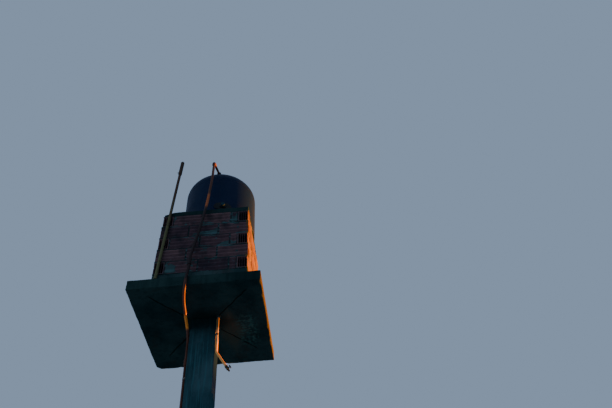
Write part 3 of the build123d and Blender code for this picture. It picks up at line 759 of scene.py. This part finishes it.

# The mortar: sandy grey, paler in some joints and smears, with painted yellow sunlight on the right
# wall.
grout = Finish("joint_mortar", roughness=0.93, specular_ior_level=0.0)
sand = grout.noise(0.004, 5.0, rough=0.75)
grey = grout.mix(grout.noise(0.08, 5.0), (0.006, 0.014, 0.016), (0.028, 0.044, 0.046))
sandy = grout.fade(sand, 0.5, 0.75) * 0.4
grey = grout.mix(sandy, grey, (0.075, 0.092, 0.090))
pale_joint = grout.fade(grout.noise(0.030, 4.0, stretch=(7, 7, 1)), 0.50, 0.62)
grey = grout.mix(pale_joint * 0.85, grey, (0.054, 0.118, 0.124))
smeared = grout.attribute("smear") * 0.6
grey = grout.mix(smeared, grey, (0.052, 0.100, 0.104))
# Painted sunlight in patches on the right wall's mortar.
painted_sunlit_mortar = grout.fade(grout.noise(0.05, 6.0, rough=0.65), 0.26, 0.54)
painted_sunlit_mortar *= grout.fade(grout.x, sun_start, sun_full)
grey = grout.mix(painted_sunlit_mortar * 0.7, grey, (0.215, 0.130, 0.020))
mortar_skin = grout.end(grey, None, sand * 0.6 + grout.noise(0.012) * 0.6, relief=0.002)

# Each wall: its corner, its run seen from outside, its full courses, the head joints of full and
# of short courses, how unevenly its bricks stand, how deep its joints lie and its daubs
wall_plans = {
    "front_wall": (
        (pedestal_low.x, pedestal_low.y), (1, 0, 0), (1, 3), (0.3265, 0.6795), (0.4705, 0.8215),
        0.0020, 0.0065,
        ((0.84, 0.405, 0.21, 0.070), (0.17, 0.06, 0.09, 0.09), (0.52, 0.61, 0.19, 0.045)),
    ),
    "right_wall": (
        (pedestal_high.x, pedestal_low.y), (0, 1, 0), (0, 2, 4), (0.345, 0.690), (0.478, 0.832),
        0.0075, 0.0100, (),
    ),
    "back_wall": (
        (pedestal_high.x, pedestal_high.y), (-1, 0, 0), (1, 3), (0.349, 0.694), (0.212, 0.561),
        0.0030, 0.0050, (),
    ),
    "left_wall": (
        (pedestal_low.x, pedestal_high.y), (0, -1, 0), (0, 2, 4), (0.340, 0.686), (0.474, 0.828),
        0.0030, 0.0050, (),
    ),
}
for wall_index, (wall_name, plan) in enumerate(wall_plans.items()):
    brick_wall(wall_name, *plan, seed=31 + 20 * wall_index)


# Cap. Mortar and broken concrete over the last course, levelled by hand to seat the tank, rough
# at its edges and worn down along its left end.
cap_worn_drop = 0.040
cap_worn_width = 0.125
points, quads, out = block(cap_low, cap_high, cell=0.013, edge=0.012, wear=0.8, seed=121)
depth = sunk_face(points, 122, (0.003, 0.12), (0.0022, 0.03))
depth *= ramp_up(abs(out[:, 2]), 1.0, 0.3) * 0.85 + 0.15
points -= out * depth[:, None]
height_share = (points[:, 2] - cap_low.z) / (cap_high.z - cap_low.z)
worn = np.clip(1 - (points[:, 0] - cap_low.x) / cap_worn_width, 0, 1)
points[:, 2] -= height_share * worn * (cap_worn_drop + 0.006 * lumps(points, 0.05, 124))
shown("cap_cast", points, quads, bed_skin, ["pedestal_cap"])


# Tank. Blue-black plastic moulded in one turn: a rounded floor, a straight wall and a domed
# top with a neck. Rain has left dust and pale runs on it.
tank_low, tank_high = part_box("tank_wall")
tank_axis = np.array([(tank_low.x + tank_high.x) / 2, (tank_low.y + tank_high.y) / 2])
tank_radius = (tank_high.x - tank_low.x) / 2
tank_shell = 0.006
dome_height = 0.321
neck_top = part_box("tank_dome")[1].z
neck_radius = 0.200
floor_round = 0.005
groove_deep = 0.0022


def round_axis(radius, height, angle):
    """Points round the tank's axis, each at its radius, height and angle."""
    x, y = tank_axis[0] + radius * np.cos(angle), tank_axis[1] + radius * np.sin(angle)
    return np.stack([x, y, height], axis=-1)


def turned_piece(profile, segments=224, wobble=0.0014, seed=131):
    """Points and quads of a surface turned round the tank's axis. The profile is a list of
    (radius, height), and its radius sinks by noise of up to twice `wobble`."""
    profile = np.array(profile, float)
    angle = np.linspace(0, 2 * math.pi, segments, endpoint=False)
    radius = np.repeat(profile[:, :1], segments, axis=1)
    height = np.repeat(profile[:, 1:], segments, axis=1)
    points = np.stack([radius * np.cos(angle), radius * np.sin(angle), height], axis=-1)
    radius = radius - np.where(radius > 0, wobble * (1 + lumps(points, 0.35, seed)), 0)
    points = round_axis(radius, height, angle)
    return points.reshape(-1, 3), grid_faces(len(profile), segments, wrap=True)


def plastic(name, base, dust, runs=True, roughness=0.5):
    """Moulded plastic: one colour, faintly mottled, with patches of dust, runs and orange-peel."""
    finish = Finish(name, roughness=roughness, specular_ior_level=0.11)
    mottle = finish.noise(0.09, 5.0)
    colour = finish.mix(mottle * 0.5, base, [shade * 1.7 for shade in base])
    grime = finish.fade(finish.noise(0.30, 6.0), 0.45, 0.72)
    colour = finish.mix(grime * 0.35, colour, dust)
    if runs:
        streak = finish.fade(finish.noise(0.022, 3.0, stretch=(1, 1, 22)), 0.54, 0.78)
        colour = finish.mix(streak * 0.30, colour, dust)
    rough = finish.noise(0.05, 4.0) * 0.25 + grime * 0.15 + (roughness - 0.15)
    return finish.end(colour, rough, finish.noise(0.004, 3.0), relief=0.0004)


tank_skin = plastic("tank_plastic", (0.0004, 0.0075, 0.030), (0.003, 0.014, 0.036), roughness=0.55)
rise = np.linspace(0, 1, 60)
groove = sum(ramp_up(-abs(rise - place), -0.012, -0.004) for place in (0.06, 0.94))
outer = np.column_stack(
    [tank_radius - groove_deep * groove, tank_low.z + rise * (tank_high.z - tank_low.z)]
)
inner = [(tank_radius - tank_shell, tank_high.z), (tank_radius - tank_shell, tank_low.z)]
points, quads = turned_piece(np.vstack([outer, inner, outer[:1]]))
shown("tank_shell", points, quads, tank_skin, ["tank_wall"])


def dome_curve(sweep, inset):
    """Profile of the dome as (radius, height): an arc of an ellipse, set in by `inset`."""
    across, rise = tank_radius - inset, dome_height - inset
    return np.column_stack([across * np.cos(sweep), tank_high.z + rise * np.sin(sweep)])


sweep = np.linspace(0, math.acos(neck_radius / tank_radius), 60)
outer, inner = dome_curve(sweep, 0.0), dome_curve(sweep[::-6], tank_shell)
neck = [
    (neck_radius, neck_top - 0.003), (neck_radius - 0.002, neck_top),
    (neck_radius - tank_shell, neck_top),
]
points, quads = turned_piece(np.vstack([outer, neck, inner, outer[:1]]))
shown("tank_top", points, quads, tank_skin, ["tank_dome"])

turn = np.linspace(0, math.pi / 2, 7)
floor_low, floor_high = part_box("tank_bottom")
floor_edge = np.column_stack(
    [tank_radius - floor_round * (1 - np.sin(turn)), floor_low.z + floor_round * (1 - np.cos(turn))]
)
floor_top = [(tank_radius, floor_high.z), (0.0, floor_high.z)]
points, quads = turned_piece(np.vstack([(0.0, floor_low.z), floor_edge, floor_top]))
shown("tank_floor", points, quads, tank_skin, ["tank_bottom"])

# Lid. A crowned disc of black plastic that screws on the neck, with ribs on top and twelve
# lugs round its skirt to turn it by.
lid_skin = plastic("lid_plastic", (0.010, 0.011, 0.013), (0.055, 0.055, 0.055), runs=False)
lid_low, lid_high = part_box("tank_lid")
lug_count = 12
lug_deep = 0.0090
rib_high = 0.0018
crown = 0.014
lid_bore = 0.2006
lid_disc = (lid_high.x - lid_low.x) / 2 - 0.0095
# Across the lid's top, as (share of its radius, share of its crown)
lid_profile = [
    (0.00, 1.00), (0.10, 1.00), (0.14, 0.86), (0.30, 0.80), (0.55, 0.66), (0.80, 0.42),
    (0.90, 0.34), (0.95, 0.10), (0.99, 0.0),
]
angle = np.linspace(0, 2 * math.pi, 288, endpoint=False)
skirt = lid_disc + lug_deep * ramp_up(np.cos(angle * lug_count), 0.55, 0.85)
rings = []
for share, height in lid_profile:
    rib = rib_high * ramp_up(np.cos(angle * lug_count), 0.80, 0.95) * (0.14 < share < 0.92)
    rings.append((share * lid_disc, lid_high.z - rib_high - crown * (1 - height) + rib))
shoulder = lid_high.z - rib_high - crown
ceiling = shoulder - 0.004
rings += [
    (skirt - 0.0015, shoulder - 0.0015), (skirt, shoulder - 0.0040), (skirt, lid_low.z + 0.0015),
    (skirt - 0.0015, lid_low.z), (lid_bore, lid_low.z), (lid_bore, ceiling), (0.0, ceiling),
]
radius, height = (
    np.array([np.broadcast_to(ring[side], angle.shape) for ring in rings]) for side in (0, 1)
)
points = round_axis(radius, height, angle).reshape(-1, 3)
quads = grid_faces(len(rings), len(angle), turned=True, wrap=True)
shown("lid", points, quads, lid_skin, ["tank_lid"])


# Outlet and inlet boss. A welded oval pad with a flange nut, a nipple closed by a grey
# eight-sided plug, and a black boss where the inlet enters the dome.
def dress(skin, *nodes):
    """Give CAD nodes whose shape is right their material."""
    for node in nodes:
        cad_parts[node].data.materials.clear()
        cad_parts[node].data.materials.append(skin)


fitting_skin = plastic("fitting_grey", (0.005, 0.026, 0.042), (0.010, 0.026, 0.034), runs=False)
dress(lid_skin, "outlet_pad", "outlet_flange", "inlet_boss")
dress(fitting_skin, "outlet_nipple", "outlet_plug")

# Riser and inlet. Red-brown plastic water pipe, bent by hand where it passes the slab, with
# glued couplings. It has painted shade before the bricks, and painted orange sunlight just over
# the cap and on the bow between the column and the slab's front.
pipe = Finish("pipe_brown", roughness=0.55, specular_ior_level=0.2)
brown = pipe.mix(pipe.noise(0.12, 4.0), (0.062, 0.022, 0.015), (0.115, 0.038, 0.022))
pipe_dirt = pipe.fade(pipe.noise(0.035, 5.0, stretch=(1, 1, 3)), 0.52, 0.72)
brown = pipe.mix(pipe_dirt * 0.55, brown, (0.030, 0.021, 0.019))
faded = pipe.fade(pipe.noise(0.2, 3.0), 0.5, 0.75)
brown = pipe.mix(faded * 0.4, brown, (0.155, 0.072, 0.045))
# Painted shade on the riser in front of the bricks.
painted_shade_before_bricks = pipe.band(
    pipe.z, slab_high.z - 0.10, slab_high.z - 0.04, cap_high.z - 0.06, cap_high.z + 0.02
)
brown = pipe.mix(painted_shade_before_bricks * 0.85, brown, (0.010, 0.008, 0.011))
# Painted sunlight just over the cap.
painted_sun_above_cap = pipe.band(
    pipe.z, cap_high.z - 0.02, cap_high.z + 0.03, cap_high.z + 0.20, cap_high.z + 0.26
)
brown = pipe.mix(painted_sun_above_cap * 0.8, brown, (0.42, 0.105, 0.028))
# Painted sunlight on the bow near the column.
painted_sun_on_bow = pipe.fade(pipe.z, column_high.z - 0.175, column_high.z - 0.145)
painted_sun_on_bow *= pipe.fade(pipe.y, -0.34, -0.28)
painted_sun_on_bow *= pipe.fade(pipe.y, -0.10, -0.14)
brown = pipe.mix(painted_sun_on_bow * 0.9, brown, (0.95, 0.28, 0.03))
pipe_skin = pipe.end(brown, pipe.noise(0.03) * 0.3 + 0.42, pipe.noise(0.006), relief=0.0005)
dress(
    pipe_skin, "foot_coupling", "riser_column", "column_coupling", "riser_bow", "front_coupling",
    "riser_front", "top_elbow", "inlet_pipe",
)

# Drain pipe. Cream plastic, yellowed by the sun and given a tan that is partly painted sunlight,
# with grey dirt in runs, painted shade near the slab and painted orange sunlight on the arm beyond
# its bend.
drain = Finish("pipe_cream", roughness=0.55)
cream = drain.mix(drain.noise(0.10, 4.0), (0.46, 0.27, 0.10), (0.72, 0.44, 0.17))
drain_dirt = drain.fade(drain.noise(0.025, 5.0, stretch=(1, 1, 4)), 0.50, 0.70)
cream = drain.mix(drain_dirt * 0.6, cream, (0.11, 0.095, 0.080))
# Painted shade near the slab.
painted_shade_near_slab = drain.fade(drain.z, column_high.z - 0.22, column_high.z - 0.12)
cream = drain.mix(painted_shade_near_slab * 0.75, cream, (0.040, 0.030, 0.022))
# Painted sunlight on the arm beyond the bend.
painted_sun_on_arm = drain.fade(drain.z, collar_foot - 0.33, collar_foot - 0.38)
cream = drain.mix(painted_sun_on_arm * 0.75, cream, (0.90, 0.38, 0.07))
drain_skin = drain.end(cream, drain_dirt * 0.25 + 0.45, drain.noise(0.006), relief=0.0005)
dress(drain_skin, "drain_pipe")

# Straps and bolt. Bands of dull galvanized steel nailed to the column round the riser and the
# drain, and the bolt of the post's sleeve, all spotted with rust.
strap = Finish("strap_steel", roughness=0.55, metallic=0.6)
strap_rust = strap.fade(strap.noise(0.02, 6.0), 0.45, 0.62)
zinc = strap.mix(strap_rust, (0.20, 0.20, 0.195), (0.11, 0.050, 0.025))
strap_skin = strap.end(zinc, strap_rust * 0.35 + 0.5, strap.noise(0.003), relief=0.0004)
dress(strap_skin, "riser_straps", "drain_strap", "sleeve_bolt")

# Tap. A small brass garden tap, gone dark, screwed into the end of the drain's arm, with a
# black iron wheel that has begun to rust.
brass = Finish("tap_brass", metallic=0.9)
tarnish = brass.fade(brass.noise(0.012, 5.0), 0.40, 0.65)
dulled = brass.mix(tarnish, (0.120, 0.080, 0.034), (0.024, 0.021, 0.018))
brass_skin = brass.end(dulled, tarnish * 0.4 + 0.32, brass.noise(0.004), relief=0.0003)
iron = Finish("tap_iron", metallic=0.2)
iron_rust = iron.fade(iron.noise(0.008, 5.0), 0.52, 0.66)
blacked = iron.mix(iron_rust, (0.018, 0.018, 0.020), (0.11, 0.05, 0.03))
iron_skin = iron.end(blacked, iron.noise(0.01) * 0.3 + 0.45, iron.noise(0.003), relief=0.0004)
dress(brass_skin, "tap_body")
dress(iron_skin, "tap_handle")

# Post. A steel tube leaned on the pedestal and tied with wire: old olive paint low down, bare
# rust higher up, and a rusted sleeve clamped over its top.
post_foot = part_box("post")[0].z
rust_from, rust_full = post_foot + 1.25, post_foot + 2.1
post = Finish("post_steel", roughness=0.8, metallic=0.1)
flake = post.noise(0.03, 6.0, stretch=(1, 1, 4))
rusting = post.fade(post.z + flake * 1.3, rust_from, rust_full)
bare_rust = post.mix(post.noise(0.012, 5.0), (0.030, 0.013, 0.007), (0.085, 0.034, 0.014))
olive = post.mix(post.noise(0.05, 5.0), (0.062, 0.062, 0.022), (0.128, 0.122, 0.045))
post_paint = post.mix(rusting, olive, bare_rust)
post_skin = post.end(post_paint, None, rusting * 0.5 + flake * 0.6, relief=0.0012)
sleeve = Finish("sleeve_rust", roughness=0.85, metallic=0.1)
sleeve_scale = sleeve.noise(0.010, 6.0, rough=0.7)
rusted = sleeve.mix(sleeve_scale, (0.018, 0.010, 0.007), (0.070, 0.031, 0.014))
sleeve_skin = sleeve.end(rusted, None, sleeve_scale, relief=0.0012)
tie = Finish("tie_wire", roughness=0.6, metallic=0.5)
tie_rust = tie.fade(tie.noise(0.01, 5.0), 0.45, 0.6)
annealed = tie.mix(tie_rust, (0.06, 0.06, 0.06), (0.13, 0.065, 0.04))
tie_skin = tie.end(annealed, None, tie.noise(0.003), relief=0.0003)
dress(post_skin, "post")
dress(sleeve_skin, "post_sleeve")
dress(tie_skin, "post_ties")
dress(bed_skin, "drain_collar")
